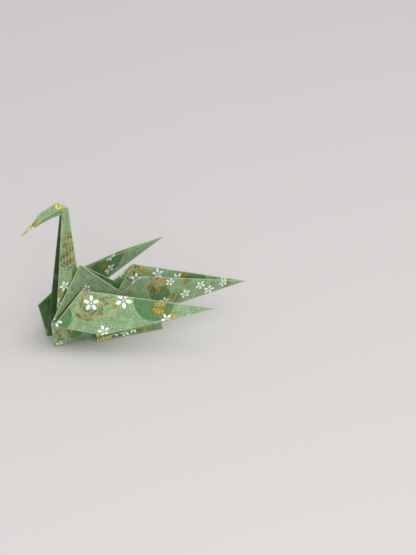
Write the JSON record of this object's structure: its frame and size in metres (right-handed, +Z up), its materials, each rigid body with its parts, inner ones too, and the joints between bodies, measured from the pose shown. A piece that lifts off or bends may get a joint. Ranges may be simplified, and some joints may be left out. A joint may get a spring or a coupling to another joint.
{
  "type": "origami crane",
  "caption": "Folded paper crane standing on a table: tapering neck with bent head, sloping back, two swept-back wings and a flat pointed tail, in patterned green paper.",
  "frame": {"origin": "middle of the crane's outline seen from above, on the table it stands on", "axes": "+X towards the beak, +Y to the crane's left wing, +Z up"},
  "size_m": [0.0968, 0.064, 0.0633],
  "materials": {
    "patterned_paper": "matt uncoated washi paper, printed green with white blossoms and gold line work"
  },
  "bodies": {
    "root": {"paper_crane": "patterned_paper"}
  },
  "joints": []
}
